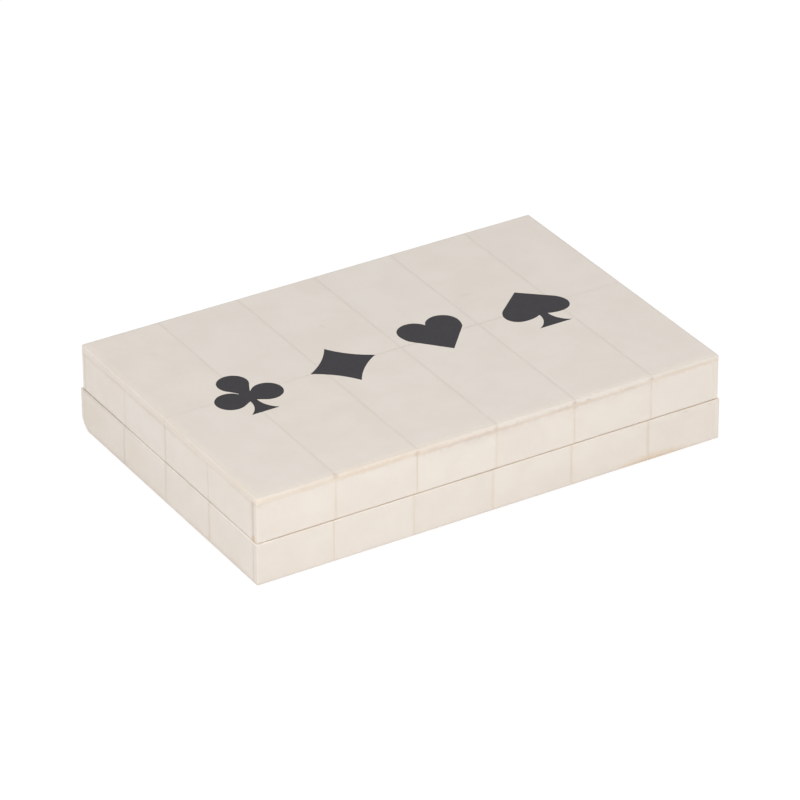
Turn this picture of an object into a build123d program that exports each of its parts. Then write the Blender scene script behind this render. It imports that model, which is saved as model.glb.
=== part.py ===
from build123d import *
import os

# Card and dice box: a lift-off lid on a base, both clad in bone tiles over wooden boards.
# Millimetres. X runs along the length, the front faces -Y and the base stands on Z = 0.

# Whole box
box_length = 180.0  # base, over its tiles
box_width = 120.0
base_height = 15.5  # table to rim
lid_height = 16.7
lid_inset = 0.5  # each lid side stands back this far from the base side under it

# Bone tiles and their filled joints
tile_thick = 2.0  # on the sides
top_tile_thick = 1.7
joint_width = 0.5
joint_recess = 0.05  # filler below the tile faces
seam_gap = 0.15  # between lid and base tiles; the boards behind them meet
tile_lift = 0.1  # base tiles end this far above the table
edge_radius = 0.5  # outer corners and the lid's upper edge
rubbed_radius = 1.1  # upright corner of the lid, at the back of the left end
foot_radius = 0.3  # lower edge of the base
shoulder_radius = 0.35  # upper edge of the base tiles, beside the seam
rim_radius = 0.15  # lower edge of the lid tiles
worn_radius = 6.5  # rubbed lower corner of the base, at the back of the left end
worn_length = 9.0  # the rubbed corner fades out this far along the back
round_limit_share = 0.9  # most of a thickness that a rounded edge may take

# Places of the joints, from the left end and from the front
lid_column_shares = (0.165, 0.337, 0.507, 0.678, 0.848)
base_column_shares = (0.160, 0.329, 0.498, 0.669, 0.839)
lid_row_shares = (0.267, 0.509, 0.743)
base_row_shares = (0.260, 0.505, 0.744)
top_row_share = 0.509

# Boards behind the tiles
base_panel_thick = 4.0
lid_panel_thick = 4.0
wall_thick = 6.0  # base walls
lip_thick = 2.5  # lip boards inside the walls
lip_rise = 6.0  # lip above the rim
lip_round = 0.8
lid_clearance = 0.5  # lid rails round the lip

# Inside the base
dice_well_width = 20.0
divider_thick = 3.5
divider_drop = 1.0  # dividers end this far below the rim
divider_round = 0.6
groove_depth = 1.0  # dividers are let into the front and back lip boards
groove_clearance = 0.1
scoop_width = 32.0  # finger scoop in each divider
scoop_depth = 6.5

# Felt
lining_thick = 1.0  # on the floor of each well
lid_lining_thick = 1.0
lining_gap = 0.4  # round each lining
felt_thick = 1.0  # pad under the base
felt_margin = 3.0  # pad inside the edge of the base panel

# Suit inlays, which go through the top tiles
club_width = 24.8
club_height = 26.75
diamond_width = 25.0
diamond_height = 24.6
heart_width = 23.3
heart_height = 22.5
spade_width = 25.15
spade_height = 25.95
inlay_clearance = 0.05

# Middle of each suit, from the middle of the lid
suit_place_shares = {
    "club": (-0.327, 0.012),
    "diamond": (-0.1185, 0.011),
    "heart": (0.091, 0.020),
    "spade": (0.304, 0.0035),
}

# Outlines of the suits, as shares of their width and height from their middle
club_lobe_share = 0.221  # radius of the three lobes, of the width
club_lean_share = -0.024  # upper lobe off the middle
club_side_share = -0.084  # height of the side lobes
club_crown_share = (0.190, 0.196)  # where the upper lobe starts to taper
club_neck_share = (0.081, 0.036)
club_under_share = (0.169, -0.262)
club_stem_share = (0.048, -0.196)
club_flare_share = (0.087, -0.363)
club_foot_share = (0.209, -0.500)
diamond_waist_share = 0.217  # middle of each hollow side
heart_cleft_share = (0.0, 0.322)
heart_crown_share = (0.235, 0.500)
heart_side_share = (0.500, 0.229)
heart_shoulder_share = (0.453, 0.026)
heart_point_share = (0.0, -0.500)
spade_point_share = (0.0, 0.500)
spade_shoulder_share = (0.395, 0.168)
spade_side_share = (0.491, 0.025)
spade_lobe_share = (0.328, -0.231)
spade_lean_share = 0.013  # stem off the middle
spade_stem_share = (0.061, -0.192)
spade_flare_share = (0.107, -0.361)
spade_foot_share = (0.253, -0.500)

overrun = 5.0  # cuts run this far past the faces that they open

# Plan sizes, length and width
lid_length = box_length - 2 * lid_inset
lid_width = box_width - 2 * lid_inset
base_core = (box_length - 2 * tile_thick, box_width - 2 * tile_thick)
lid_core = (lid_length - 2 * tile_thick, lid_width - 2 * tile_thick)
base_hollow = (base_core[0] - 2 * wall_thick, base_core[1] - 2 * wall_thick)
lid_hollow = (base_hollow[0] + 2 * lid_clearance, base_hollow[1] + 2 * lid_clearance)
well_area = (base_hollow[0] - 2 * lip_thick, base_hollow[1] - 2 * lip_thick)

# Heights
rim = base_height
floor = felt_thick + base_panel_thick
divider_top = rim - divider_drop
lip_top = rim + lip_rise
lid_top = rim + lid_height
tile_seat = lid_top - top_tile_thick  # upper face of the lid panel
ceiling = tile_seat - lid_panel_thick  # lower face of the lid panel

# Dividers and the three wells, along X
divider_inner = dice_well_width / 2
divider_outer = divider_inner + divider_thick
well_spans = {
    "left_card": (-well_area[0] / 2, -divider_outer),
    "dice": (-divider_inner, divider_inner),
    "right_card": (divider_outer, well_area[0] / 2),
}
divider_spans = {
    "left": (-divider_outer, -divider_inner),
    "right": (divider_inner, divider_outer),
}

os.makedirs("parts", exist_ok=True)


def keep(piece, name):
    piece.label = name
    export_step(piece, f"parts/{name}.step")


def eased(radius, thick):
    # A rounding held inside the thickness that carries it
    return min(radius, thick * round_limit_share)


def at(shares, width, height):
    return (shares[0] * width, shares[1] * height)


# Suit figures, upright as read from the front


def stem_figure(stem_shares, width, height):
    # Flared stem of a club or a spade, from the middle of its head down
    stem, flare, foot = [at(shares, width, height) for shares in stem_shares]
    with BuildSketch() as figure:
        with BuildLine():
            Polyline((0, 0), (stem[0], 0), stem)
            ThreePointArc(stem, flare, foot)
            Line(foot, (0, foot[1]))
            mirror(about=Plane.YZ)
        make_face()
    return figure.sketch


def club_figure():
    width, height = club_width, club_height
    lobe = width * club_lobe_share
    lean = width * club_lean_share
    side_lobe = (width / 2 - lobe, height * club_side_share)
    crown = at(club_crown_share, width, height)
    right_side = [
        at(club_neck_share, width, height),
        side_lobe,
        at(club_under_share, width, height),
        at(club_stem_share, width, height),
    ]
    left_side = [(-x, y) for x, y in reversed(right_side)]
    stem = stem_figure((club_stem_share, club_flare_share, club_foot_share), width, height)
    with BuildSketch() as figure:
        with Locations((lean, height / 2 - lobe), side_lobe, (-side_lobe[0], side_lobe[1])):
            Circle(lobe)
        with BuildLine():
            Polyline(
                (lean + crown[0], crown[1]),
                *right_side,
                *left_side,
                (lean - crown[0], crown[1]),
                close=True,
            )
        make_face()
        add(stem)
    return figure.sketch


def diamond_figure():
    width, height = diamond_width, diamond_height
    waist = (width * diamond_waist_share, height * diamond_waist_share)
    with BuildSketch() as figure:
        with BuildLine():
            ThreePointArc((width / 2, 0), waist, (0, height / 2))
            mirror(about=Plane.YZ)
            mirror(about=Plane.XZ)
        make_face()
    return figure.sketch


def heart_figure():
    cleft, crown, side, shoulder, point = [
        at(shares, heart_width, heart_height)
        for shares in (
            heart_cleft_share,
            heart_crown_share,
            heart_side_share,
            heart_shoulder_share,
            heart_point_share,
        )
    ]
    with BuildSketch() as figure:
        with BuildLine():
            lobe = ThreePointArc(cleft, crown, side)
            TangentArc(side, shoulder, tangent=lobe % 1)
            Line(shoulder, point)
            mirror(about=Plane.YZ)
        make_face()
    return figure.sketch


def spade_figure():
    width, height = spade_width, spade_height
    point, shoulder, side, lobe, neck = [
        at(shares, width, height)
        for shares in (
            spade_point_share,
            spade_shoulder_share,
            spade_side_share,
            spade_lobe_share,
            spade_stem_share,
        )
    ]
    stem = stem_figure((spade_stem_share, spade_flare_share, spade_foot_share), width, height)
    with BuildSketch() as figure:
        with BuildLine():
            slope = Line(point, shoulder)
            upper = TangentArc(shoulder, side, tangent=slope % 1)
            lower = TangentArc(side, lobe, tangent=upper % 1)
            TangentArc(lobe, neck, tangent=lower % 1)
            Line(neck, (0, neck[1]))
            mirror(about=Plane.YZ)
        make_face()
        with Locations((width * spade_lean_share, 0)):
            add(stem)
    return figure.sketch


suit_figures = {
    "club": club_figure(),
    "diamond": diamond_figure(),
    "heart": heart_figure(),
    "spade": spade_figure(),
}


def suit_plan(suit, growth):
    # One suit at its place on the lid, grown all round
    with BuildSketch() as plan:
        with Locations(at(suit_place_shares[suit], lid_length, lid_width)):
            add(suit_figures[suit])
        if growth:
            offset(amount=growth)
    return plan.sketch


inlay_plans = {suit: suit_plan(suit, 0) for suit in suit_figures}
pocket_plans = [suit_plan(suit, inlay_clearance) for suit in suit_figures]


# Tiles and joint filler


def side_joint_plan(core, column_shares, row_shares):
    # Slots that part the cladding round a core: the long sides lap the left side's ends, and the
    # right side laps theirs
    length = core[0] + 2 * tile_thick
    width = core[1] + 2 * tile_thick
    reach = tile_thick + 2 * overrun
    columns = [share * length - length / 2 for share in column_shares]
    rows = [share * width - width / 2 for share in row_shares]
    end_lap = (core[0] - joint_width) / 2
    side_lap = (core[1] - joint_width) / 2
    across = (core[1] + tile_thick) / 2
    along = (core[0] + tile_thick) / 2
    with BuildSketch() as plan:
        with Locations(*[(x, y) for x in (*columns, end_lap) for y in (-across, across)]):
            Rectangle(joint_width, reach)
        with Locations(*[(x, y) for x in (-along, along) for y in rows]):
            Rectangle(reach, joint_width)
        with Locations((-along, -side_lap), (-along, side_lap)):
            Rectangle(reach, joint_width)
    return plan.sketch


def worn_section(x, radius):
    # What is rubbed off the lower back edge at one place along it
    back = box_width / 2
    with BuildSketch(Plane.YZ.offset(x)) as section:
        with BuildLine():
            Polyline(
                (back, tile_lift + radius),
                (back + overrun, tile_lift + radius),
                (back + overrun, tile_lift - overrun),
                (back - radius, tile_lift - overrun),
                (back - radius, tile_lift),
            )
            TangentArc((back - radius, tile_lift), (back, tile_lift + radius), tangent=(1, 0))
        make_face()
    return section.sketch


def worn_corner():
    left_end = -box_length / 2
    taper = worn_radius / worn_length
    faded = foot_radius / 2
    ends = [
        worn_section(left_end - overrun, worn_radius + overrun * taper),
        worn_section(left_end + (worn_radius - faded) / taper, faded),
    ]
    with BuildPart() as rubbed:
        loft(ends, ruled=True)
    return rubbed.part


rubbed_corner = worn_corner()


def outer_plan(length, width, rubbed):
    # A rectangle with rounded corners, the one at the back of the left end rubbed to its own radius
    back_left = (-length / 2, width / 2)
    with BuildSketch() as plan:
        Rectangle(length, width)
        fillet(plan.vertices().sort_by_distance(back_left)[1:], edge_radius)
        fillet(plan.vertices().sort_by_distance(back_left)[0], rubbed)
    return plan.sketch


def side_cladding(core, thick, low, high, low_round, high_round, rubbed, plan, mode):
    # A band round the core: its tiles, with the slots cut out, or its filler, with only the slots left
    outline = outer_plan(core[0] + 2 * thick, core[1] + 2 * thick, rubbed)
    with BuildPart() as band:
        with BuildSketch(Plane.XY.offset(low)):
            add(outline)
            Rectangle(*core, mode=Mode.SUBTRACT)
        extrude(amount=high - low)
        fillet(band.faces().sort_by(Axis.Z)[0].outer_wire().edges(), eased(low_round, thick))
        if high_round:
            fillet(band.faces().sort_by(Axis.Z)[-1].outer_wire().edges(), eased(high_round, thick))
        with BuildSketch(Plane.XY.offset(low - overrun)):
            add(plan)
        extrude(amount=high - low + 2 * overrun, mode=mode)
        add(rubbed_corner, mode=Mode.SUBTRACT)
    return band.part


def top_cladding(recess, mode):
    # The lid's top layer: its tiles or, recessed, the filler between them
    thick = top_tile_thick - recess
    columns = [share * lid_length - lid_length / 2 for share in lid_column_shares]
    row = top_row_share * lid_width - lid_width / 2
    outline = outer_plan(lid_length - 2 * recess, lid_width - 2 * recess, rubbed_radius)
    with BuildPart() as layer:
        with BuildSketch(Plane.XY.offset(tile_seat)):
            add(outline)
        extrude(amount=thick)
        fillet(layer.faces().sort_by(Axis.Z)[-1].edges(), eased(edge_radius, thick))
        with BuildSketch(Plane.XY.offset(tile_seat - overrun)):
            with Locations(*[(x, 0) for x in columns]):
                Rectangle(joint_width, lid_width + 2 * overrun)
            with Locations((0, row)):
                Rectangle(lid_length + 2 * overrun, joint_width)
        extrude(amount=thick + 2 * overrun, mode=mode)
        for pocket in pocket_plans:
            with BuildSketch(Plane.XY.offset(tile_seat - overrun)):
                add(pocket)
            extrude(amount=thick + 2 * overrun, mode=Mode.SUBTRACT)
    return layer.part


def keep_side_tiles(cladding, core, owner):
    # One group of tiles for each side
    groups = {"front": [], "back": [], "left": [], "right": []}
    for tile in cladding.solids():
        middle = tile.center()
        if abs(middle.Y) > core[1] / 2:
            groups["back" if middle.Y > 0 else "front"].append(tile)
        else:
            groups["right" if middle.X > 0 else "left"].append(tile)
    for side, tiles in groups.items():
        with BuildPart() as group:
            for tile in tiles:
                add(tile)
        keep(group.part, f"{owner}_{side}_tiles")


base_joints = side_joint_plan(base_core, base_column_shares, base_row_shares)
lid_joints = side_joint_plan(lid_core, lid_column_shares, lid_row_shares)
filler_thick = tile_thick - joint_recess
base_tile_top = rim - seam_gap / 2
lid_tile_low = rim + seam_gap / 2
lid_tile_top = tile_seat - joint_width

base_tiles = side_cladding(
    base_core,
    tile_thick,
    tile_lift,
    base_tile_top,
    foot_radius,
    shoulder_radius,
    edge_radius,
    base_joints,
    Mode.SUBTRACT,
)
keep_side_tiles(base_tiles, base_core, "base")

lid_side_tiles = side_cladding(
    lid_core,
    tile_thick,
    lid_tile_low,
    lid_tile_top,
    rim_radius,
    0,
    rubbed_radius,
    lid_joints,
    Mode.SUBTRACT,
)
keep_side_tiles(lid_side_tiles, lid_core, "lid")

# Chips between a pocket and a joint fall away, so only the whole tiles are kept
top_count = 2 * (len(lid_column_shares) + 1)
top_tiles = top_cladding(0, Mode.SUBTRACT).solids().sort_by(SortBy.VOLUME)[-top_count:].sort_by(Axis.X)
row_line = top_row_share * lid_width - lid_width / 2
top_rows = {
    "front": [tile for tile in top_tiles if tile.center().Y < row_line],
    "back": [tile for tile in top_tiles if tile.center().Y > row_line],
}
for row_name, row_tiles in top_rows.items():
    for number, tile in enumerate(row_tiles, start=1):
        with BuildPart() as top_tile:
            add(tile)
        keep(top_tile.part, f"lid_top_tile_{row_name}_{number}")

base_filler = side_cladding(
    base_core,
    filler_thick,
    tile_lift + joint_recess,
    base_tile_top - joint_recess,
    foot_radius,
    shoulder_radius,
    edge_radius,
    base_joints,
    Mode.INTERSECT,
)
keep(base_filler, "base_joint_filler")

lid_side_filler = side_cladding(
    lid_core,
    filler_thick,
    lid_tile_low + joint_recess,
    lid_tile_top,
    rim_radius,
    0,
    rubbed_radius,
    lid_joints,
    Mode.INTERSECT,
)
lid_top_filler = top_cladding(joint_recess, Mode.INTERSECT)
brim_outline = outer_plan(lid_core[0] + 2 * filler_thick, lid_core[1] + 2 * filler_thick, rubbed_radius)
with BuildPart() as lid_filler:
    with BuildSketch(Plane.XY.offset(lid_tile_top)):
        add(brim_outline)
        Rectangle(*lid_core, mode=Mode.SUBTRACT)
    extrude(amount=joint_width)
    add(lid_side_filler)
    add(lid_top_filler)
keep(lid_filler.part, "lid_joint_filler")

for suit, plan in inlay_plans.items():
    with BuildPart() as inlay:
        with BuildSketch(Plane.XY.offset(tile_seat)):
            add(plan)
        extrude(amount=top_tile_thick)
    keep(inlay.part, f"{suit}_inlay")


# Boards


def board(x_span, y_span, z_span):
    with BuildPart() as piece:
        with BuildSketch(Plane.XY.offset(z_span[0])):
            with Locations((sum(x_span) / 2, sum(y_span) / 2)):
                Rectangle(x_span[1] - x_span[0], y_span[1] - y_span[0])
        extrude(amount=z_span[1] - z_span[0])
    return piece.part


def centred(length):
    return (-length / 2, length / 2)


def frame_spans(outer, inner):
    # Plan of four boards round a hollow: the long ones run full length, the short ones fit between them
    return {
        "front": (centred(outer[0]), (-outer[1] / 2, -inner[1] / 2)),
        "back": (centred(outer[0]), (inner[1] / 2, outer[1] / 2)),
        "left": ((-outer[0] / 2, -inner[0] / 2), centred(inner[1])),
        "right": ((inner[0] / 2, outer[0] / 2), centred(inner[1])),
    }


floor_board = board(centred(base_core[0]), centred(base_core[1]), (felt_thick, floor))
with BuildPart() as base_panel:
    add(floor_board)
    add(rubbed_corner, mode=Mode.SUBTRACT)
keep(base_panel.part, "base_panel")
keep(board(centred(lid_core[0]), centred(lid_core[1]), (ceiling, tile_seat)), "lid_panel")

for side, (x_span, y_span) in frame_spans(base_core, base_hollow).items():
    keep(board(x_span, y_span, (floor, rim)), f"base_wall_{side}")

for side, (x_span, y_span) in frame_spans(lid_core, lid_hollow).items():
    keep(board(x_span, y_span, (rim, ceiling)), f"lid_rail_{side}")

for side, (x_span, y_span) in frame_spans(base_hollow, well_area).items():
    run = Axis.X if side in ("front", "back") else Axis.Y
    blank = board(x_span, y_span, (floor, lip_top))
    with BuildPart() as lip:
        add(blank)
        fillet(lip.edges().group_by(Axis.Z)[-1].filter_by(run), eased(lip_round, lip_thick / 2))
        if run == Axis.X:
            inner_face = well_area[1] / 2 if side == "back" else -well_area[1] / 2
            with BuildSketch(Plane.XY.offset(floor - overrun)):
                with Locations(*[(sum(span) / 2, inner_face) for span in divider_spans.values()]):
                    Rectangle(divider_thick + 2 * groove_clearance, 2 * groove_depth)
            extrude(amount=lip_top - floor + 2 * overrun, mode=Mode.SUBTRACT)
    keep(lip.part, f"lip_{side}")

divider_end = well_area[1] / 2 + groove_depth - groove_clearance
scoop_edge = scoop_width / 2
for side, span in divider_spans.items():
    with BuildPart() as divider:
        with BuildSketch(Plane.YZ.offset(span[0])):
            with BuildLine():
                Polyline(
                    (-scoop_edge, divider_top),
                    (-divider_end, divider_top),
                    (-divider_end, floor),
                    (divider_end, floor),
                    (divider_end, divider_top),
                    (scoop_edge, divider_top),
                )
                ThreePointArc(
                    (scoop_edge, divider_top),
                    (0, divider_top - scoop_depth),
                    (-scoop_edge, divider_top),
                )
            make_face()
        extrude(amount=divider_thick)
        upper_edges = divider.edges().group_by(Axis.Z)[-1].filter_by(Axis.Y)
        fillet(upper_edges, eased(divider_round, divider_thick / 2))
    keep(divider.part, f"divider_{side}")

# Felt

lining_width = well_area[1] - 2 * lining_gap
for well, (low, high) in well_spans.items():
    lining_span = (low + lining_gap, high - lining_gap)
    lining = board(lining_span, centred(lining_width), (floor, floor + lining_thick))
    keep(lining, f"{well}_well_lining")

lid_lining = board(
    centred(lid_hollow[0] - 2 * lining_gap),
    centred(lid_hollow[1] - 2 * lining_gap),
    (ceiling - lid_lining_thick, ceiling),
)
keep(lid_lining, "lid_lining")

felt_pad = board(
    centred(base_core[0] - 2 * felt_margin),
    centred(base_core[1] - 2 * felt_margin),
    (0, felt_thick),
)
keep(felt_pad, "base_felt_pad")
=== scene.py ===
import math

import bmesh
import bpy
from mathutils import Matrix, Vector, noise


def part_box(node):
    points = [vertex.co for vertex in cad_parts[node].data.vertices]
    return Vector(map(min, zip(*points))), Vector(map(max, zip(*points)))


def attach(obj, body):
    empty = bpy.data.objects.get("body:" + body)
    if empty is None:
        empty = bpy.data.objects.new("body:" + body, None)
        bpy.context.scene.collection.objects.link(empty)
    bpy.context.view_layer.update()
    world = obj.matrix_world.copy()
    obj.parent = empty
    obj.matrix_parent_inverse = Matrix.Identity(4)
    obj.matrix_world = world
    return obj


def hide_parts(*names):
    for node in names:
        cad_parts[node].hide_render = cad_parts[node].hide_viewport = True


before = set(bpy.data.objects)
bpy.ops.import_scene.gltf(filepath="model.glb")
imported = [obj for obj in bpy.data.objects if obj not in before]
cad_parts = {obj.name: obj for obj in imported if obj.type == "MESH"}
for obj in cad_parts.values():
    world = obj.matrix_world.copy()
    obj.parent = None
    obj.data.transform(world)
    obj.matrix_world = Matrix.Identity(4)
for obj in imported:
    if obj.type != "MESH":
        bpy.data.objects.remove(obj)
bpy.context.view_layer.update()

scene = bpy.context.scene
mm = 0.001
xAxis, yAxis, zAxis = 0, 1, 2
print("frame loaded,", len(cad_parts), "nodes")


# Small node helpers

def screenColour(red, green, blue):
    # a colour as seen on screen, in the shader's linear values
    shares = [value / 255 for value in (red, green, blue)]
    return tuple(s / 12.92 if s <= 0.04045 else ((s + 0.055) / 1.055) ** 2.4 for s in shares) + (1.0,)


def greyColour(level):
    return (level, level, level, 1.0)


def feed(tree, socket, value):
    if isinstance(value, bpy.types.NodeSocket):
        tree.links.new(value, socket)
    else:
        socket.default_value = value


def addNode(tree, kind, settings=None, **inputs):
    node = tree.nodes.new(kind)
    for key, value in (settings or {}).items():
        setattr(node, key, value)
    for key, value in inputs.items():
        feed(tree, node.inputs[key], value)
    return node


def calc(tree, operation, *values):
    node = addNode(tree, "ShaderNodeMath", {"operation": operation})
    for socket, value in zip(node.inputs, values):
        feed(tree, socket, value)
    return node.outputs[0]


def vectorCalc(tree, operation, first, second):
    node = addNode(tree, "ShaderNodeVectorMath", {"operation": operation})
    feed(tree, node.inputs[0], first)
    feed(tree, node.inputs["Scale"] if operation == "SCALE" else node.inputs[1], second)
    return node.outputs[0]


def blend(tree, amount, first, second, mode="MIX"):
    node = addNode(tree, "ShaderNodeMix", {"data_type": "RGBA", "blend_type": mode})
    for socket, value in zip((node.inputs[0], node.inputs[6], node.inputs[7]), (amount, first, second)):
        feed(tree, socket, value)
    return node.outputs[2]


def fade(tree, value, low, high, start=0.0, end=1.0):
    # smooth step from start at low to end at high
    node = addNode(tree, "ShaderNodeMapRange", {"interpolation_type": "SMOOTHSTEP"}, Value=value)
    for key, number in (("From Min", low), ("From Max", high), ("To Min", start), ("To Max", end)):
        feed(tree, node.inputs[key], number)
    return node.outputs[0]


def cloud(tree, place, scale, detail=3.0, roughness=0.55, distortion=0.0):
    node = addNode(tree, "ShaderNodeTexNoise", Vector=place, Scale=scale, Detail=detail,
                   Roughness=roughness, Distortion=distortion)
    return node.outputs["Fac"]


def newGroup(name, inputs, outputs):
    kinds = {"v": "NodeSocketVector", "f": "NodeSocketFloat"}
    group = bpy.data.node_groups.new(name, "ShaderNodeTree")
    for title, kind in inputs:
        group.interface.new_socket(title, in_out="INPUT", socket_type=kinds[kind])
    for title, kind in outputs:
        group.interface.new_socket(title, in_out="OUTPUT", socket_type=kinds[kind])
    return group, group.nodes.new("NodeGroupInput").outputs, group.nodes.new("NodeGroupOutput").inputs


def useGroup(tree, group, **inputs):
    return addNode(tree, "ShaderNodeGroup", {"node_tree": group}, **inputs).outputs


def newMaterial(name):
    material = bpy.data.materials.new(name)
    material.use_nodes = True
    tree = material.node_tree
    coordinates = tree.nodes.new("ShaderNodeTexCoord").outputs["Object"]
    place = vectorCalc(tree, "SCALE", coordinates, 1 / mm)  # millimetres from here on
    return material, tree, tree.nodes["Principled BSDF"], place


def split(tree, vector):
    return addNode(tree, "ShaderNodeSeparateXYZ", Vector=vector).outputs


def bump(tree, surface, height, depth):
    node = addNode(tree, "ShaderNodeBump", Height=height, Distance=depth, Strength=1.0)
    tree.links.new(node.outputs[0], surface.inputs["Normal"])


def dress(nodeName, material):
    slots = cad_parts[nodeName].data.materials
    slots.clear()
    slots.append(material)


# Faces, levels and tile joints, read from the frame in millimetres

sideAxis = {"front": xAxis, "back": xAxis, "left": yAxis, "right": yAxis}  # the way each side runs
weldReach = 0.001 * mm  # corners this close are one
lapLeast = 1.0  # tiles that stop this far short of the corner are lapped there
farAway = 1000.0  # more than any distance on the box


def tileSpans(nodeName, axis):
    # low and high edge of each loose tile in a node along one axis
    shape = bmesh.new()
    shape.from_mesh(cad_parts[nodeName].data)
    bmesh.ops.remove_doubles(shape, verts=shape.verts, dist=weldReach)
    waiting = set(shape.verts)
    spans = []
    while waiting:
        found = [waiting.pop()]
        island = list(found)
        while found:
            vert = found.pop()
            for edge in vert.link_edges:
                other = edge.other_vert(vert)
                if other in waiting:
                    waiting.remove(other)
                    found.append(other)
                    island.append(other)
        reach = [vert.co[axis] / mm for vert in island]
        spans.append((min(reach), max(reach)))
    shape.free()
    return sorted(spans)


def gapsBetween(spans):
    return [(low[1] + high[0]) / 2 for low, high in zip(spans, spans[1:])]


def boxSpan(nodeName, axis):
    low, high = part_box(nodeName)
    return low[axis] / mm, high[axis] / mm


topTiles = {row: sorted(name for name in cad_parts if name.startswith(f"lid_top_tile_{row}_"))
            for row in ("front", "back")}
topColumns = gapsBetween([boxSpan(name, xAxis) for name in topTiles["front"]])
topRows = gapsBetween([boxSpan(names[0], yAxis) for names in topTiles.values()])
sideJoints = {}
for part in ("lid", "base"):
    for side, axis in sideAxis.items():
        low, high = boxSpan(f"{part}_joint_filler", axis)
        spans = tileSpans(f"{part}_{side}_tiles", axis)
        lapped = [end for end in (spans[0][0], spans[-1][1]) if low + lapLeast < end < high - lapLeast]
        sideJoints[part, side] = gapsBetween(spans) + lapped  # a lapped end shows a joint on this side
lidFront, lidLeft = boxSpan("lid_front_tiles", yAxis)[0], boxSpan("lid_left_tiles", xAxis)[0]
baseFront, baseLeft = boxSpan("base_front_tiles", yAxis)[0], boxSpan("base_left_tiles", xAxis)[0]
brimLow, lidTop = boxSpan(topTiles["front"][0], zAxis)
brimLevel = (boxSpan("lid_front_tiles", zAxis)[1] + brimLow) / 2
footLevel, baseTop = boxSpan("base_front_tiles", zAxis)
seamLevel = (baseTop + boxSpan("lid_front_tiles", zAxis)[0]) / 2
print("joints found, seam at", round(seamLevel, 2), "mm and brim at", round(brimLevel, 2), "mm")


# Effects that several materials share

boneGrain = {
    "tileShift": 37.0,  # moves the pattern on from tile to tile
    "cloudScale": 0.075,
    "streakScale": 1.3,
    "poreScale": 4.2,
    "poreEdge": (0.66, 0.76),
    "patchScale": 0.16,  # pores gather in patches
    "patchEdge": (0.45, 0.65),
}
stainAndShadeEdge = {
    "swayScale": 0.05,
    "raggedScale": 0.55,
    "raggedEdge": (0.3, 0.7),
    "raggedReach": (0.6, 1.4),
    "patchScale": 0.06,
    "patchEdge": (0.35, 0.65),
    "spotScale": 0.5,
    "spotRagged": 0.8,
    "spotCore": 0.15,  # share of a spot that is at full strength
}
woodGrain = {
    "fibreStretch": (0.05, 1.0, 1.0),
    "fibreScale": 2.2,
    "wanderScale": 0.025,
    "wander": 6.0,
    "ringScale": 0.22,
    "ringDistortion": 2.5,
    "poreStretch": (0.12, 1.0, 1.0),
    "poreScale": 2.6,
    "poreEdge": (0.6, 0.72),
}


def makeJointGroup(name, joints):
    # number of the tile along one axis, and the distance to the nearest joint
    group, source, sink = newGroup(name, [("Along", "f")], [("Tile", "f"), ("Away", "f")])
    tile, nearest = 0.0, farAway
    for joint in joints:
        tile = calc(group, "ADD", tile, calc(group, "GREATER_THAN", source["Along"], joint))
        away = calc(group, "ABSOLUTE", calc(group, "SUBTRACT", source["Along"], joint))
        nearest = calc(group, "MINIMUM", nearest, away)
    feed(group, sink["Tile"], tile)
    feed(group, sink["Away"], nearest)
    return group


def makeBoneFigure():
    # soft clouds, fine streaks along the tile and scattered pores
    group, source, sink = newGroup(
        "boneFigure",
        [("Place", "v"), ("Stretch", "v"), ("Tile", "f")],
        [("Cloud", "f"), ("Streak", "f"), ("Pore", "f")],
    )
    shift = calc(group, "MULTIPLY", source["Tile"], boneGrain["tileShift"])
    shifted = vectorCalc(group, "ADD", source["Place"], shift)
    stretched = vectorCalc(group, "MULTIPLY", shifted, source["Stretch"])
    streak = cloud(group, stretched, boneGrain["streakScale"], detail=4.0, roughness=0.6, distortion=0.4)
    pore = fade(group, cloud(group, stretched, boneGrain["poreScale"], detail=1.0), *boneGrain["poreEdge"])
    patch = fade(group, cloud(group, shifted, boneGrain["patchScale"], detail=1.0), *boneGrain["patchEdge"])
    feed(group, sink["Cloud"], cloud(group, shifted, boneGrain["cloudScale"]))
    feed(group, sink["Streak"], streak)
    feed(group, sink["Pore"], calc(group, "MULTIPLY", pore, patch))
    return group


def makeLineStainAndShade():
    # a broken line for a stain, or for painted light or shade: Offset is the distance from it, Wander lets
    # it stray and Least is its faintest share
    group, source, sink = newGroup(
        "lineStainAndShade",
        [("Offset", "f"), ("Wander", "f"), ("Reach", "f"), ("Least", "f"), ("Place", "v")],
        [("Mask", "f")],
    )
    place = source["Place"]
    sway = calc(group, "SUBTRACT", cloud(group, place, stainAndShadeEdge["swayScale"], detail=2.0), 0.5)
    away = calc(group, "ABSOLUTE", calc(group, "MULTIPLY_ADD", sway, source["Wander"], source["Offset"]))
    ragged = cloud(group, place, stainAndShadeEdge["raggedScale"])
    ragged = fade(group, ragged, *stainAndShadeEdge["raggedEdge"], *stainAndShadeEdge["raggedReach"])
    patchy = cloud(group, place, stainAndShadeEdge["patchScale"], detail=2.0)
    patchy = fade(group, patchy, *stainAndShadeEdge["patchEdge"], source["Least"], 1.0)
    line = fade(group, away, 0.0, calc(group, "MULTIPLY", source["Reach"], ragged), 1.0, 0.0)
    feed(group, sink["Mask"], calc(group, "MULTIPLY", line, patchy))
    return group


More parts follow.
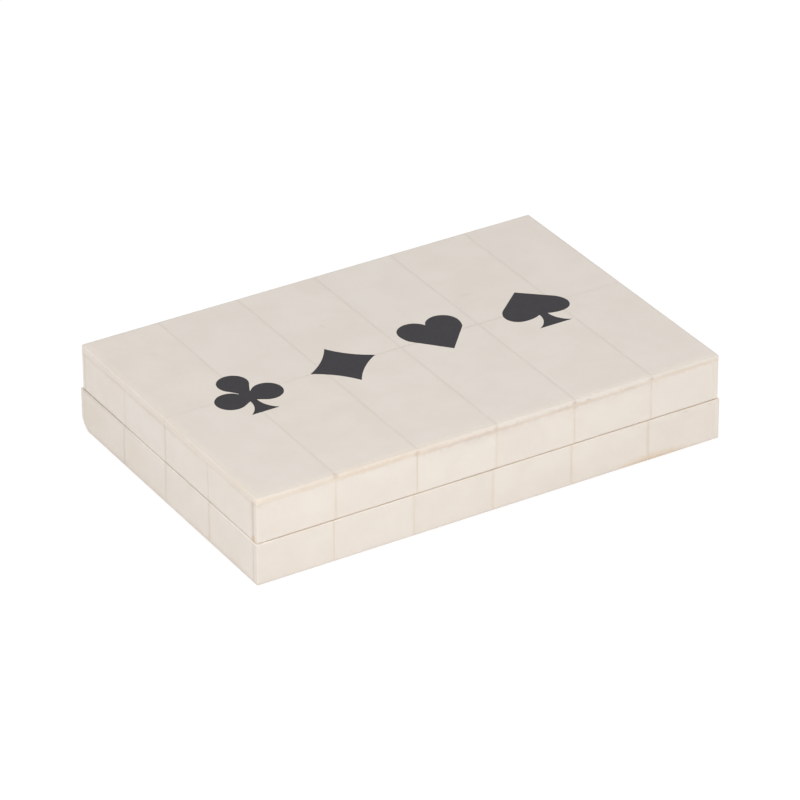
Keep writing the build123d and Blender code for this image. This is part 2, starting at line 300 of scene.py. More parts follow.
def makeSpotStainAndShade():
    # one ragged spot, as far across as Spread
    group, source, sink = newGroup(
        "spotStainAndShade", [("Place", "v"), ("Centre", "v"), ("Spread", "v")], [("Mask", "f")]
    )
    aside = vectorCalc(group, "SUBTRACT", source["Place"], source["Centre"])
    scaled = vectorCalc(group, "DIVIDE", aside, source["Spread"])
    far = addNode(group, "ShaderNodeVectorMath", {"operation": "LENGTH"})
    feed(group, far.inputs[0], scaled)
    ragged = calc(group, "SUBTRACT", cloud(group, source["Place"], stainAndShadeEdge["spotScale"]), 0.5)
    reach = calc(group, "MULTIPLY_ADD", ragged, stainAndShadeEdge["spotRagged"], far.outputs["Value"])
    feed(group, sink["Mask"], fade(group, reach, stainAndShadeEdge["spotCore"], 1.0, 1.0, 0.0))
    return group


def makeWoodFigure():
    # long fibres along X of Place, wandering rings and short dark pores
    group, source, sink = newGroup(
        "woodFigure", [("Place", "v"), ("Seed", "f")], [("Ring", "f"), ("Fibre", "f"), ("Pore", "f")]
    )
    shifted = vectorCalc(group, "ADD", source["Place"], source["Seed"])
    long = vectorCalc(group, "MULTIPLY", shifted, woodGrain["fibreStretch"])
    drift = addNode(group, "ShaderNodeTexNoise", Vector=shifted, Scale=woodGrain["wanderScale"])
    drift = vectorCalc(group, "SCALE", drift.outputs["Color"], woodGrain["wander"])
    wander = vectorCalc(group, "ADD", long, drift)
    rings = addNode(group, "ShaderNodeTexWave", {"bands_direction": "DIAGONAL"}, Vector=wander,
                    Scale=woodGrain["ringScale"], Distortion=woodGrain["ringDistortion"], Detail=2.0)
    short = vectorCalc(group, "MULTIPLY", shifted, woodGrain["poreStretch"])
    pore = cloud(group, short, woodGrain["poreScale"], detail=2.0)
    feed(group, sink["Ring"], rings.outputs["Fac"])
    feed(group, sink["Fibre"], cloud(group, long, woodGrain["fibreScale"], detail=5.0, roughness=0.65))
    feed(group, sink["Pore"], fade(group, pore, *woodGrain["poreEdge"]))
    return group


boneFigure = makeBoneFigure()
lineStainAndShade = makeLineStainAndShade()
spotStainAndShade = makeSpotStainAndShade()
woodFigure = makeWoodFigure()
topColumnGroup = makeJointGroup("topColumnJoints", topColumns)
topRowGroup = makeJointGroup("topRowJoints", topRows)
sideGroups = {key: makeJointGroup("".join(key) + "Joints", joints) for key, joints in sideJoints.items()}
print("shared effects ready,", len(bpy.data.node_groups), "groups")


# Bone tiles

bone = {
    "pale": screenColour(231, 222, 212),
    "warm": screenColour(227, 217, 206),
    "grey": screenColour(225, 217, 209),
    "tan": screenColour(206, 182, 153),
    "brown": screenColour(120, 96, 74),
    "rust": screenColour(170, 120, 80),
    "amber": screenColour(204, 162, 92),
    # ash grey for joints, flecks and chips, and also painted shade on the top's back and right edges and on
    # the base's left shoulder
    "ash": screenColour(190, 182, 173),
    # grey-brown of the brim joint, and painted shade at the foot, under the brim and at the left end of the
    # front
    "shadeAndGrime": screenColour(206, 192, 180),
    # painted light: highlights on the top's front and left edges, and a lighter seam along the front
    "bright": screenColour(252, 237, 218),
    # painted light that softens the seam's shadow line on the left
    "seamPaintedLight": screenColour(252, 245, 236),
    # painted shade: a warm tint that tones down the highlight on the top's rounded front and left edges
    "peach": screenColour(229, 208, 183),
    "cloudEdge": (0.3, 0.7),
    "greyShare": 0.45,
    "tileTint": 0.018,
    "streakTint": 0.016,
    "streakStretch": 0.15,
    "streakHeight": 0.12,
    "poreTint": 0.14,
    "poreHeight": -0.3,
    "poreRoughness": 0.15,
    "roughEdge": (0.25, 0.75),
    "roughness": (0.35, 0.45),
    "bumpDepth": 0.03 * mm,
    "topSeed": 3.0,
    "rowSeed": 9.0,
    "sideSeed": 20,
}


def stainAndShadeMask(tree, place, axes, away, mark):
    # a spot, a line at a height, a line at another coordinate, or else a line along the joints
    if "centre" in mark:
        return useGroup(tree, spotStainAndShade, Place=place, Centre=mark["centre"], Spread=mark["spread"])["Mask"]
    if "level" in mark:
        level = mark["level"]
        for axis, low, high, rise in mark.get("steps", ()):
            level = calc(tree, "ADD", level, fade(tree, axes[axis], low, high, 0.0, rise))
        offset = calc(tree, "SUBTRACT", axes[zAxis], level)
    elif "joint" in mark:
        offset = calc(tree, "SUBTRACT", axes[mark["axis"]], mark["joint"])
    else:
        offset = away
    mask = useGroup(
        tree,
        lineStainAndShade,
        Offset=offset,
        Wander=mark.get("wander", 0.0),
        Reach=mark["reach"],
        Least=mark["least"],
        Place=place,
    )["Mask"]
    for axis, low, high in mark["where"]:
        mask = calc(tree, "MULTIPLY", mask, fade(tree, axes[axis], low, high))
    return mask


def addStainsAndShading(tree, colour, place, axes, away, stainsAndShading):
    for mark in stainsAndShading:
        mask = stainAndShadeMask(tree, place, axes, away, mark)
        colour = blend(tree, calc(tree, "MULTIPLY", mask, mark["strength"]), colour, bone[mark["colour"]])
    return colour


def boneMaterial(name, seed, stainsAndShading, axis, streakAxis, columns, rows=None):
    # columns and rows are the joints met along axis and across it
    material, tree, surface, place = newMaterial(name)
    axes = split(tree, place)
    first = useGroup(tree, columns, Along=axes[axis])
    tile = calc(tree, "ADD", first["Tile"], seed)
    away = first["Away"]
    if rows:
        second = useGroup(tree, rows, Along=axes[1 - axis])
        tile = calc(tree, "MULTIPLY_ADD", second["Tile"], bone["rowSeed"], tile)
        away = calc(tree, "MINIMUM", away, second["Away"])
    chance = addNode(tree, "ShaderNodeTexWhiteNoise", {"noise_dimensions": "1D"}, W=tile).outputs["Value"]
    stretch = [bone["streakStretch"] if number == streakAxis else 1.0 for number in range(3)]
    figure = useGroup(tree, boneFigure, Place=place, Stretch=stretch, Tile=tile)

    colour = blend(tree, fade(tree, figure["Cloud"], *bone["cloudEdge"]), bone["pale"], bone["warm"])
    colour = blend(tree, calc(tree, "MULTIPLY", chance, bone["greyShare"]), colour, bone["grey"])
    tint = calc(tree, "MULTIPLY_ADD", calc(tree, "SUBTRACT", chance, 0.5), bone["tileTint"], 1.0)
    streak = calc(tree, "SUBTRACT", figure["Streak"], 0.5)
    tint = calc(tree, "MULTIPLY_ADD", streak, bone["streakTint"], tint)
    tone = addNode(tree, "ShaderNodeCombineColor", Red=tint, Green=tint, Blue=tint).outputs[0]
    colour = blend(tree, 1.0, colour, tone, "MULTIPLY")
    colour = blend(tree, calc(tree, "MULTIPLY", figure["Pore"], bone["poreTint"]), colour, bone["tan"])
    colour = addStainsAndShading(tree, colour, place, axes, away, stainsAndShading)
    feed(tree, surface.inputs["Base Color"], colour)

    rough = fade(tree, figure["Cloud"], *bone["roughEdge"], *bone["roughness"])
    rough = calc(tree, "MULTIPLY_ADD", figure["Pore"], bone["poreRoughness"], rough)
    feed(tree, surface.inputs["Roughness"], rough)
    height = calc(tree, "MULTIPLY_ADD", figure["Streak"], bone["streakHeight"], figure["Cloud"])
    height = calc(tree, "MULTIPLY_ADD", figure["Pore"], bone["poreHeight"], height)
    bump(tree, surface, height, bone["bumpDepth"])
    return material


# Stains and painted light and shade, in millimetres, shared by the pieces that meet at them

skin = 3.0  # how far a spot on a face reaches into the piece


def alongLine(colour, strength, reach, least, where=(), **line):
    # line is a level, with its steps and wander, or a joint across an axis, or nothing for every joint
    return {"colour": colour, "strength": strength, "reach": reach, "least": least, "where": where, **line}


def spotAt(centre, spread, colour, strength):
    return {"centre": centre, "spread": spread, "colour": colour, "strength": strength}


def sideJoint(part, side, number):
    return {"joint": sideJoints[part, side][number], "axis": sideAxis[side]}


# where a stain or a painted light or shade shows: an axis, the place where it begins and the place from
# which it is full
onFront = (yAxis, lidFront + 9.5, lidFront + 1.5)
onLeft = (xAxis, lidLeft + 9.5, lidLeft + 1.5)
onTop = (zAxis, lidTop - 1.0, lidTop - 0.4)
atLeftEnd = (xAxis, lidLeft + 2.0, lidLeft + 0.5)
pastLeftEnd = (xAxis, lidLeft + 0.5, lidLeft + 2.0)
offFrontEdge = (yAxis, lidFront + 0.2, lidFront + 1.0)
offLeftEdge = (xAxis, lidLeft + 0.2, lidLeft + 1.0)
overSeam = (zAxis, seamLevel - 0.2, seamLevel + 0.2)
underSeam = (zAxis, seamLevel + 0.2, seamLevel - 0.2)

# the line under the upper edge, whose steps are an axis, a start, an end and a rise
brimLine = {
    "level": brimLevel - 1.1,
    "wander": 0.8,
    "steps": [
        (yAxis, -26, -34, 0.5),
        (xAxis, lidLeft + 1.0, lidLeft + 3.0, 0.8),
        (xAxis, -34, -26, -0.6),
        (xAxis, 60, 68, 0.6),
    ],
}
brimStainsAndShade = [
    alongLine("tan", 0.38, reach=1.3, least=0.5, where=[pastLeftEnd], **brimLine),
    alongLine("shadeAndGrime", 0.3, reach=1.3, least=0.4, where=[atLeftEnd], **brimLine),
    alongLine("tan", 0.12, reach=1.3, least=0.9, where=[atLeftEnd], **brimLine),
    alongLine("shadeAndGrime", 0.44, reach=1.5, least=0.6, where=[(xAxis, -30, -22), (xAxis, 66, 56)], **brimLine),
    # painted shade in a broad band under the brim, in the middle of the front
    alongLine("shadeAndGrime", 0.12, reach=2.4, least=0.7, level=brimLevel - 2.0,
              where=[(xAxis, -35, -15), (xAxis, 70, 60), onFront]),
    spotAt((-8, lidFront, brimLevel - 0.35), (9, skin, 0.8), "brown", 0.04),
    spotAt((lidLeft, 35, brimLevel - 0.65), (skin, 9, 0.9), "shadeAndGrime", 0.3),
    spotAt((lidLeft, 10, brimLevel - 0.75), (skin, 9, 0.9), "shadeAndGrime", 0.2),
    spotAt((-7, lidFront, brimLevel - 1.45), (7, skin, 2.2), "ash", 0.1),
    spotAt((37.2, lidFront, brimLevel + 0.55), (1.0, skin, 0.6), "brown", 0.25),
    spotAt((53.0, lidFront, brimLevel - 0.15), (4.0, skin, 0.7), "rust", 0.1),
]
# at the front end of each column of joints: height over the brim, strength
columnEnds = [(1.25, 0.2), (0.25, 0.2), (0.45, 0.12), (0.85, 0.22), (0.55, 0.2)]
for column, (rise, strength) in zip(topColumns, columnEnds):
    brimStainsAndShade.append(spotAt((column, lidFront, brimLevel + rise), (1.8, skin, 1.1), "rust", strength))

# painted shade and light at the seam: darker on the left towards the back, lighter along the front and the
# rest of the left
seamPaintedShading = [
    alongLine("brown", 0.16, reach=0.7, least=0.6, where=[(yAxis, 20, 42), onLeft], level=seamLevel),
    spotAt((lidLeft, 8, seamLevel), (skin, 26, 1.4), "seamPaintedLight", 0.2),
    alongLine("bright", 0.25, reach=0.6, least=1.0, where=[onFront], level=seamLevel),
    alongLine("seamPaintedLight", 0.36, reach=0.8, least=1.0, where=[(yAxis, -22, -52), onLeft], level=seamLevel),
]
# painted shade: darker, warmer patches along the seam on the front
seamShadePatches = [(-82, -65, 0.08), (-14, 1, 0.08), (44, 62, 0.06), (74, 92, 0.1)]  # start, end, strength
outside, inside = 4, 2  # a patch fades from this far outside its ends to this far inside them
for start, end, strength in seamShadePatches:
    between = [(xAxis, start - outside, start + inside), (xAxis, end + outside, end - inside), onFront]
    seamPaintedShading.append(alongLine("rust", strength, reach=0.6, least=0.6, where=between, level=seamLevel))

nearLap = min(sideJoints["lid", "left"])
lapSpot = spotAt((lidLeft, nearLap, seamLevel + 0.9), (skin, 1.9, 2.2), "amber", 0.33)
lapStains = [
    alongLine("rust", 0.22, reach=1.5, least=0.8, where=[onLeft], joint=nearLap, axis=yAxis),
    lapSpot,
]

# joints that hardly show
rowLine = {"joint": topRows[0], "axis": yAxis, "least": 0.9}
lastColumn = {"joint": topColumns[-1], "axis": xAxis, "least": 0.9}
paleJoints = [
    alongLine("pale", 0.4, reach=1.3, where=[onTop, (xAxis, -20, -34)], **rowLine),
    alongLine("pale", 0.85, reach=1.3, where=[onTop, (xAxis, 58, 72)], **rowLine),
    alongLine("pale", 0.5, reach=1.3, where=[onTop, (yAxis, 26, 48)], **lastColumn),
    alongLine("pale", 0.45, reach=1.3, least=0.9, where=[onLeft, overSeam], **sideJoint("lid", "left", 2)),
]
for part, half in (("lid", overSeam), ("base", underSeam)):
    lap = {"joint": max(sideJoints[part, "front"]), "axis": xAxis}
    paleJoints.append(alongLine("pale", 0.75, reach=1.8, least=0.9, where=[onFront, half], **lap))

frontEdge = {"joint": lidFront, "axis": yAxis}
leftEdge = {"joint": lidLeft, "axis": xAxis}
backEdge = {"joint": -lidFront - 0.2, "axis": yAxis}
rightEdge = {"joint": -lidLeft - 0.2, "axis": xAxis}
topStainsAndShading = [
    alongLine("ash", 0.08, reach=1.3, where=[(xAxis, -14, -6), (xAxis, 52, 44)], **rowLine),
    alongLine("ash", 0.1, reach=1.5, least=0.5),
    # painted highlights along the top's front and left edges
    alongLine("bright", 0.3, reach=3.4, least=0.7, where=[offFrontEdge], **frontEdge),
    alongLine("bright", 0.18, reach=3.8, least=0.7, where=[offLeftEdge], **leftEdge),
    # painted shade: a warm tint that tones down the highlight on these rounded edges
    alongLine("peach", 0.28, reach=1.2, least=0.7, where=[(xAxis, 20, -30)], **frontEdge),
    alongLine("peach", 0.3, reach=1.2, least=0.7, where=[(yAxis, 20, -20)], **leftEdge),
    # painted shade along the top's back and right edges
    alongLine("ash", 0.6, reach=0.8, least=0.5, where=[onTop], **backEdge),
    alongLine("ash", 0.5, reach=0.8, least=0.5, where=[onTop], **rightEdge),
    spotAt((-71.6, 40.4, lidTop), (2.2, 2.2, skin), "ash", 0.14),
    spotAt((-13.8, 27.8, lidTop), (1.2, 2.0, skin), "ash", 0.16),
    spotAt((39.4, 20.8, lidTop), (4.0, 1.5, skin), "ash", 0.16),
]
jointStain = alongLine("tan", 0.15, reach=1.3, least=0.4)
# painted shade along the foot
paintedFootShade = alongLine("shadeAndGrime", 0.35, reach=1.1, least=0.6, level=footLevel + 0.3)
partStainsAndShading = {
    "lid": [jointStain] + paleJoints + brimStainsAndShade + seamPaintedShading + lapStains,
    "base": [jointStain, paintedFootShade] + paleJoints + seamPaintedShading,
}
# painted shade at the left end of the front faces
paintedNearEndShade = spotAt((baseLeft, lidFront, seamLevel - 0.5), (18, 2 * skin, 30), "shadeAndGrime", 0.12)
sideStainsAndShade = {
    ("lid", "front"): [paintedNearEndShade],
    ("lid", "left"): [alongLine("ash", 0.16, reach=1.0, least=0.6, **sideJoint("lid", "left", 1))],
    ("base", "front"): [
        paintedNearEndShade,
        spotAt((82, lidFront, footLevel + 8.9), (26, 2 * skin, 10), "amber", 0.05),
        spotAt((63.5, baseFront, footLevel), (20, 2 * skin, 3.4), "amber", 0.34),
        alongLine("brown", 0.1, reach=0.8, least=0.7, **sideJoint("base", "front", 4)),
        alongLine("brown", 0.06, reach=0.8, least=0.7, **sideJoint("base", "front", 3)),
        spotAt((76, baseFront, seamLevel - 0.9), (1.8, skin, 0.7), "ash", 0.2),
        spotAt((86, baseFront, seamLevel - 1.1), (2.0, skin, 0.7), "ash", 0.2),
    ],
    ("base", "left"): [
        # painted shade: darker at the foot, and broadly towards the bottom at the back
        alongLine("shadeAndGrime", 0.4, reach=1.8, least=0.6, level=footLevel + 0.8),
        alongLine("shadeAndGrime", 0.15, reach=8.0, least=0.7, where=[(yAxis, -10, 40)], level=footLevel),
        # darker and warmer towards the back
        alongLine("tan", 0.12, reach=14.0, least=0.8, where=[(yAxis, -10, 45)], level=footLevel + 7.9),
        # painted shade on the shoulder under the seam, toning down its highlight
        alongLine("ash", 0.2, reach=0.6, least=0.6, where=[(yAxis, -20, 10)], level=seamLevel - 0.4),
        alongLine("ash", 0.35, reach=1.1, least=0.7, **sideJoint("base", "left", 2)),
        alongLine("ash", 0.2, reach=1.1, least=0.7, **sideJoint("base", "left", 1)),
        alongLine("tan", 0.28, reach=1.3, least=0.7, **sideJoint("base", "left", 0)),
        lapSpot,
    ],
}

topBone = boneMaterial(
    "bone lid top", bone["topSeed"], topStainsAndShading + brimStainsAndShade, xAxis, yAxis, topColumnGroup, topRowGroup
)
for row in topTiles.values():
    for nodeName in row:
        dress(nodeName, topBone)
for seed, (part, side) in enumerate(sideJoints, start=bone["sideSeed"]):
    axis = sideAxis[side]
    stainsAndShading = partStainsAndShading[part] + sideStainsAndShade.get((part, side), [])
    sideBone = boneMaterial(f"bone {part} {side}", float(seed), stainsAndShading, axis, axis, sideGroups[part, side])
    dress(f"{part}_{side}_tiles", sideBone)
print("bone tiles dressed")


# Resin in the joints

filler = {
    "side": screenColour(228, 216, 202),
    "sideDark": screenColour(221, 206, 188),
    "top": screenColour(226, 217, 208),
    "topDark": screenColour(222, 213, 203),
    # painted light: a lighter filler along the brim line, against the shade in its recess
    "brim": screenColour(231, 221, 209),
    "endStart": 0.8,  # the ends have the top's colour, from this far in
    "endFull": 0.4,
    "topStart": 0.4,  # and so has what lies this far over the brim
    "topFull": 1.2,
    "brimLightReach": (0.2, 0.4),
    "patchScale": 0.09,
    "patchEdge": (0.35, 0.65),
    "gritScale": 2.5,
    "gritTint": 0.2,
    "gritEdge": (0.3, 0.7),
    "roughness": (0.5, 0.75),
    "bumpDepth": 0.04 * mm,
}


def fillerMaterial():
    material, tree, surface, place = newMaterial("tan joint resin")
    axes = split(tree, place)
    patches = fade(tree, cloud(tree, place, filler["patchScale"]), *filler["patchEdge"])
    grit = cloud(tree, place, filler["gritScale"], detail=2.0)
    side = blend(tree, patches, filler["side"], filler["sideDark"])
    top = blend(tree, patches, filler["top"], filler["topDark"])
    outward = calc(tree, "ABSOLUTE", axes[xAxis])
    ends = fade(tree, outward, -lidLeft - filler["endStart"], -lidLeft - filler["endFull"])
    upper = fade(tree, axes[zAxis], brimLevel + filler["topStart"], brimLevel + filler["topFull"])
    colour = blend(tree, calc(tree, "MAXIMUM", ends, upper), side, top)
    colour = blend(tree, calc(tree, "MULTIPLY", grit, filler["gritTint"]), colour, filler["sideDark"])
    brim = calc(tree, "ABSOLUTE", calc(tree, "SUBTRACT", axes[zAxis], brimLevel))
    # lighter at the brim line, painted light against the shade in its recess
    colour = blend(tree, fade(tree, brim, *filler["brimLightReach"], 1.0, 0.0), colour, filler["brim"])
    colour = addStainsAndShading(tree, colour, place, axes, 0.0, brimStainsAndShade + seamPaintedShading + lapStains + paleJoints)
    feed(tree, surface.inputs["Base Color"], colour)
    feed(tree, surface.inputs["Roughness"], fade(tree, grit, *filler["gritEdge"], *filler["roughness"]))
    bump(tree, surface, grit, filler["bumpDepth"])
    return material


tanResin = fillerMaterial()
for nodeName in ("base_joint_filler", "lid_joint_filler"):
    dress(nodeName, tanResin)
print("joints dressed")


# Resin in the suits

inlay = {
    "fresh": screenColour(35, 32, 37),
    "worn": screenColour(42, 39, 43),
    "wearScale": 0.35,
    "wearEdge": (0.35, 0.7),
    "speckScale": 3.5,
    "speckEdge": (0.68, 0.8),
    "speckTint": 0.25,
    "speckHeight": 0.15,
    "roughEdge": (0.3, 0.7),
    "roughness": (0.4, 0.52),
    "gloss": 0.2,
    "bumpDepth": 0.03 * mm,
}


def inlayMaterial():
    material, tree, surface, place = newMaterial("charcoal suit resin")
    wear = cloud(tree, place, inlay["wearScale"], detail=5.0, roughness=0.6)
    speck = cloud(tree, place, inlay["speckScale"], detail=2.0)
    colour = blend(tree, fade(tree, wear, *inlay["wearEdge"]), inlay["fresh"], inlay["worn"])
    dust = fade(tree, speck, *inlay["speckEdge"], 0.0, inlay["speckTint"])
    feed(tree, surface.inputs["Base Color"], blend(tree, dust, colour, bone["ash"]))
    feed(tree, surface.inputs["Roughness"], fade(tree, wear, *inlay["roughEdge"], *inlay["roughness"]))
    surface.inputs["Specular IOR Level"].default_value = inlay["gloss"]
    bump(tree, surface, calc(tree, "MULTIPLY_ADD", speck, inlay["speckHeight"], wear), inlay["bumpDepth"])
    return material


charcoalResin = inlayMaterial()
for suit in ("club", "diamond", "heart", "spade"):
    dress(f"{suit}_inlay", charcoalResin)
print("suits dressed")


# Wooden boards

wood = {
    "core": {"light": screenColour(196, 160, 118), "dark": screenColour(165, 124, 84), "roughness": 0.52},
    "lip": {"light": screenColour(178, 134, 92), "dark": screenColour(140, 98, 62), "roughness": 0.35},
    "pore": screenColour(84, 56, 36),
    "poreShare": 0.5,
    "poreHeight": -0.6,
    "fibreEdge": (0.3, 0.75),
    "fibreShare": 0.45,
    "fibreRoughness": 0.2,
    "bumpDepth": 0.06 * mm,
}
boards = {
    "core wood lengthwise": {
        "finish": "core", "grainAxis": xAxis, "seed": 5.0,
        "nodes": ["base_panel", "lid_panel", "base_wall_front", "base_wall_back",
                  "lid_rail_front", "lid_rail_back"],
    },
    "core wood crosswise": {
        "finish": "core", "grainAxis": yAxis, "seed": 17.0,
        "nodes": ["base_wall_left", "base_wall_right", "lid_rail_left", "lid_rail_right"],
    },
    "lip wood lengthwise": {
        "finish": "lip", "grainAxis": xAxis, "seed": 31.0,
        "nodes": ["lip_front", "lip_back"],
    },
    "lip wood crosswise": {
        "finish": "lip", "grainAxis": yAxis, "seed": 43.0,
        "nodes": ["lip_left", "lip_right", "divider_left", "divider_right"],
    },
}


def woodMaterial(name, finish, grainAxis, seed):
    material, tree, surface, place = newMaterial(name)
    if grainAxis == yAxis:  # turn the grain to run along Y
        quarter = (0.0, 0.0, math.radians(90))
        place = addNode(tree, "ShaderNodeMapping", Vector=place, Rotation=quarter).outputs[0]
    figure = useGroup(tree, woodFigure, Place=place, Seed=seed)
    colour = blend(tree, figure["Ring"], finish["light"], finish["dark"])
    fibre = fade(tree, figure["Fibre"], *wood["fibreEdge"], 0.0, wood["fibreShare"])
    colour = blend(tree, fibre, colour, finish["dark"])
    colour = blend(tree, calc(tree, "MULTIPLY", figure["Pore"], wood["poreShare"]), colour, wood["pore"])
    feed(tree, surface.inputs["Base Color"], colour)
    rough = calc(tree, "MULTIPLY_ADD", figure["Fibre"], wood["fibreRoughness"], finish["roughness"])
    feed(tree, surface.inputs["Roughness"], rough)
    height = calc(tree, "MULTIPLY_ADD", figure["Pore"], wood["poreHeight"], figure["Fibre"])
    bump(tree, surface, height, wood["bumpDepth"])
    return material


for name, board in boards.items():
    boardWood = woodMaterial(name, wood[board["finish"]], board["grainAxis"], board["seed"])
    for nodeName in board["nodes"]:
        dress(nodeName, boardWood)
print("wooden boards dressed")


# Felt

felt = {
    "nap": screenColour(46, 46, 50),
    "deep": screenColour(24, 24, 27),
    "lint": screenColour(92, 92, 98),
    "tuftScale": 1.6,
    "tuftEdge": (0.35, 0.65),
    "hairScale": 5.0,
    "hairStretch": (1.0, 0.2, 1.0),
    "hairEdge": (0.66, 0.76),
    "hairShare": 0.5,
    "hairHeight": 0.4,
    "wornScale": 0.05,
    "wornEdge": (0.4, 0.7),
    "wornShare": 0.1,
    "roughEdge": (0.3, 0.7),
    "roughness": (0.85, 1.0),
    "sheen": 0.35,
    "sheenRoughness": 0.5,
    "bumpDepth": 0.25 * mm,
    "step": 2.0 * mm,
    "rimAngle": math.radians(60),
    "edgeRound": 0.3 * mm,
    "edgeSegments": 2,
    "wave": 0.12 * mm,
    "waveLength": 9 * mm,
}
feltPlaces = {
    "left_card_well_lining": {"body": "base", "restsOn": "base_panel", "glued": "below"},
    "dice_well_lining": {"body": "base", "restsOn": "base_panel", "glued": "below"},
    "right_card_well_lining": {"body": "base", "restsOn": "base_panel", "glued": "below"},
    "lid_lining": {"body": "lid", "restsOn": "lid_panel", "glued": "above"},
    "base_felt_pad": {"body": "base", "restsOn": "base_panel", "glued": "above"},
}


def feltMaterial():
    material, tree, surface, place = newMaterial("charcoal felt")
    tufts = cloud(tree, place, felt["tuftScale"], detail=5.0, roughness=0.7)
    combed = vectorCalc(tree, "MULTIPLY", place, felt["hairStretch"])
    hairs = cloud(tree, combed, felt["hairScale"], detail=2.0, distortion=1.5)
    worn = cloud(tree, place, felt["wornScale"], detail=2.0)
    colour = blend(tree, fade(tree, tufts, *felt["tuftEdge"]), felt["deep"], felt["nap"])
    colour = blend(tree, fade(tree, hairs, *felt["hairEdge"], 0.0, felt["hairShare"]), colour, felt["lint"])
    colour = blend(tree, fade(tree, worn, *felt["wornEdge"], 0.0, felt["wornShare"]), colour, felt["lint"])
    feed(tree, surface.inputs["Base Color"], colour)
    feed(tree, surface.inputs["Roughness"], fade(tree, tufts, *felt["roughEdge"], *felt["roughness"]))
    surface.inputs["Sheen Weight"].default_value = felt["sheen"]
    surface.inputs["Sheen Roughness"].default_value = felt["sheenRoughness"]
    surface.inputs["Sheen Tint"].default_value = felt["lint"]
    bump(tree, surface, calc(tree, "MULTIPLY_ADD", hairs, felt["hairHeight"], tufts), felt["bumpDepth"])
    return material


def feltSheet(nodeName, body, glued, material):
    low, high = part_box(nodeName)
    size = high - low
    shape = bmesh.new()
    cells = [max(2, round(size[axis] / felt["step"])) for axis in (xAxis, yAxis)]
    bmesh.ops.create_grid(shape, x_segments=cells[0], y_segments=cells[1], size=0.5)
    bmesh.ops.scale(shape, verts=shape.verts, vec=(size.x, size.y, 1.0))
    made = bmesh.ops.extrude_face_region(shape, geom=shape.faces[:])
    lifted = [item for item in made["geom"] if isinstance(item, bmesh.types.BMVert)]
    bmesh.ops.translate(shape, verts=lifted, vec=(0.0, 0.0, size.z))
    bmesh.ops.recalc_face_normals(shape, faces=shape.faces)
    rims = [edge for edge in shape.edges if edge.calc_face_angle() > felt["rimAngle"]]
    bmesh.ops.bevel(shape, geom=rims, offset=felt["edgeRound"], affect="EDGES",
                    segments=felt["edgeSegments"], profile=0.5, material=-1)
    bmesh.ops.translate(shape, verts=shape.verts, vec=((low.x + high.x) / 2, (low.y + high.y) / 2, low.z))
    shown = low.z if glued == "above" else high.z  # the face away from the glue
    for vert in shape.verts:
        if abs(vert.co.z - shown) < size.z / 2:
            dip = felt["wave"] * (0.5 + 0.5 * noise.noise(vert.co / felt["waveLength"]))
            vert.co.z += dip if glued == "above" else -dip
    mesh = bpy.data.meshes.new(nodeName + "_felt")
    shape.to_mesh(mesh)
    shape.free()
    mesh.shade_smooth()
    mesh.materials.append(material)
    piece = bpy.data.objects.new(nodeName + "_felt", mesh)
    scene.collection.objects.link(piece)
    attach(piece, body)
    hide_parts(nodeName)


charcoalFelt = feltMaterial()
for nodeName, place in feltPlaces.items():
    feltSheet(nodeName, place["body"], place["glued"], charcoalFelt)
print("felt laid")


# Floor, light and camera

studio = {
    "floorSize": 12.0,
    "floorDrop": 0.02 * mm,
    "floorBounce": 0.86,
    "floorShadow": 0.18,  # share of the seen floor that takes the shadow
    "floorLit": 0.75,  # how bright that share is where no shadow falls
    "sky": 0.5,
}
lamps = {
    "frontSoftbox": {"place": (-0.05, -0.60, 0.23), "size": 0.34, "power": 1.385},
    "leftSoftbox": {"place": (-0.58, -0.23, 0.24), "size": 0.35, "power": 0.94},
    "rightSoftbox": {"place": (2.2, 0.2, 1.3), "size": 1.1, "power": 15.9},
    "backSoftbox": {"place": (-0.9, 2.0, 1.3), "size": 1.1, "power": 15.9},
}
view = {
    "azimuth": -31.07,
    "elevation": 29.95,
    "roll": -0.32,
    "distance": 1.6814,
    "aim": (0.0030, 0.0046, 0.0095),
    "lens": 222.84,
    "sensor": 36.0,
    "clip": (0.05, 50.0),
}


def backgroundRay(tree):
    # 1 where the camera looks, straight, in gloss or through glass
    path = tree.nodes.new("ShaderNodeLightPath").outputs
    seen = calc(tree, "MAXIMUM", path["Is Camera Ray"], path["Is Glossy Ray"])
    return calc(tree, "MAXIMUM", seen, path["Is Transmission Ray"])


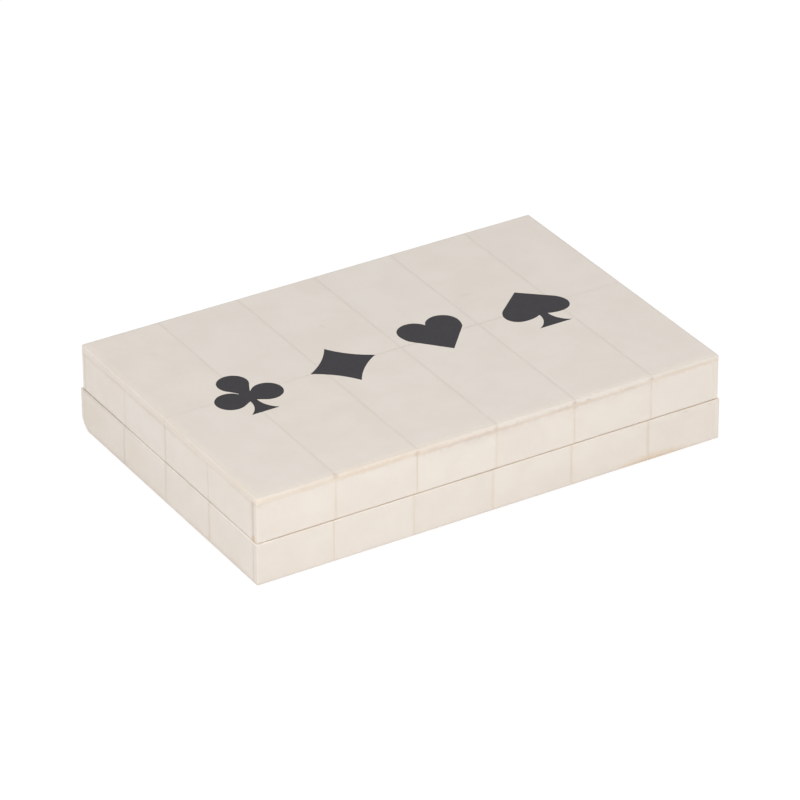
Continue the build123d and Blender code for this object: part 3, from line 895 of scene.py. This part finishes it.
def floorMaterial():
    material = bpy.data.materials.new("white floor")
    material.use_nodes = True
    tree = material.node_tree
    tree.nodes.clear()
    bounced = addNode(tree, "ShaderNodeBsdfDiffuse", Color=greyColour(studio["floorBounce"]))
    shadowed = addNode(tree, "ShaderNodeBsdfDiffuse", Color=greyColour(studio["floorShadow"]))
    glowing = 1.0 - studio["floorShadow"] * studio["floorLit"]
    glow = addNode(tree, "ShaderNodeEmission", Color=greyColour(1.0), Strength=glowing)
    seen = tree.nodes.new("ShaderNodeAddShader")
    tree.links.new(shadowed.outputs[0], seen.inputs[0])
    tree.links.new(glow.outputs[0], seen.inputs[1])
    mixed = tree.nodes.new("ShaderNodeMixShader")
    tree.links.new(backgroundRay(tree), mixed.inputs[0])
    tree.links.new(bounced.outputs[0], mixed.inputs[1])
    tree.links.new(seen.outputs[0], mixed.inputs[2])
    output = tree.nodes.new("ShaderNodeOutputMaterial")
    tree.links.new(mixed.outputs[0], output.inputs["Surface"])
    return material


def layFloor():
    shape = bmesh.new()
    bmesh.ops.create_grid(shape, x_segments=1, y_segments=1, size=studio["floorSize"] / 2)
    bmesh.ops.translate(shape, verts=shape.verts, vec=(0.0, 0.0, -studio["floorDrop"]))
    mesh = bpy.data.meshes.new("floor")
    shape.to_mesh(mesh)
    shape.free()
    mesh.materials.append(floorMaterial())
    floor = bpy.data.objects.new("floor", mesh)
    scene.collection.objects.link(floor)


def lightWorld():
    world = bpy.data.worlds.new("studio")
    scene.world = world
    world.use_nodes = True
    tree = world.node_tree
    background = tree.nodes["Background"]
    background.inputs["Color"].default_value = greyColour(1.0)
    strength = calc(tree, "MULTIPLY_ADD", backgroundRay(tree), 1.0 - studio["sky"], studio["sky"])
    feed(tree, background.inputs["Strength"], strength)


def hangLamps():
    for name, lamp in lamps.items():
        light = bpy.data.lights.new(name, "AREA")
        light.shape = "SQUARE"
        light.size = lamp["size"]
        light.energy = lamp["power"]
        holder = bpy.data.objects.new(name, light)
        holder.location = lamp["place"]
        holder.rotation_euler = (-Vector(lamp["place"])).to_track_quat("-Z", "Y").to_euler()
        scene.collection.objects.link(holder)


def setCamera():
    camera = bpy.data.cameras.new("camera")
    camera.lens = view["lens"]
    camera.sensor_width = view["sensor"]
    camera.clip_start, camera.clip_end = view["clip"]
    around, above = math.radians(view["azimuth"]), math.radians(view["elevation"])
    back = Vector((math.sin(around) * math.cos(above), -math.cos(around) * math.cos(above), math.sin(above)))
    holder = bpy.data.objects.new("camera", camera)
    turn = (-back).to_track_quat("-Z", "Y").to_matrix() @ Matrix.Rotation(math.radians(view["roll"]), 3, "Z")
    holder.matrix_world = Matrix.Translation(Vector(view["aim"]) + back * view["distance"]) @ turn.to_4x4()
    scene.collection.objects.link(holder)
    scene.camera = holder


layFloor()
lightWorld()
hangLamps()
setCamera()
scene.view_settings.view_transform = "Standard"
print("studio set")
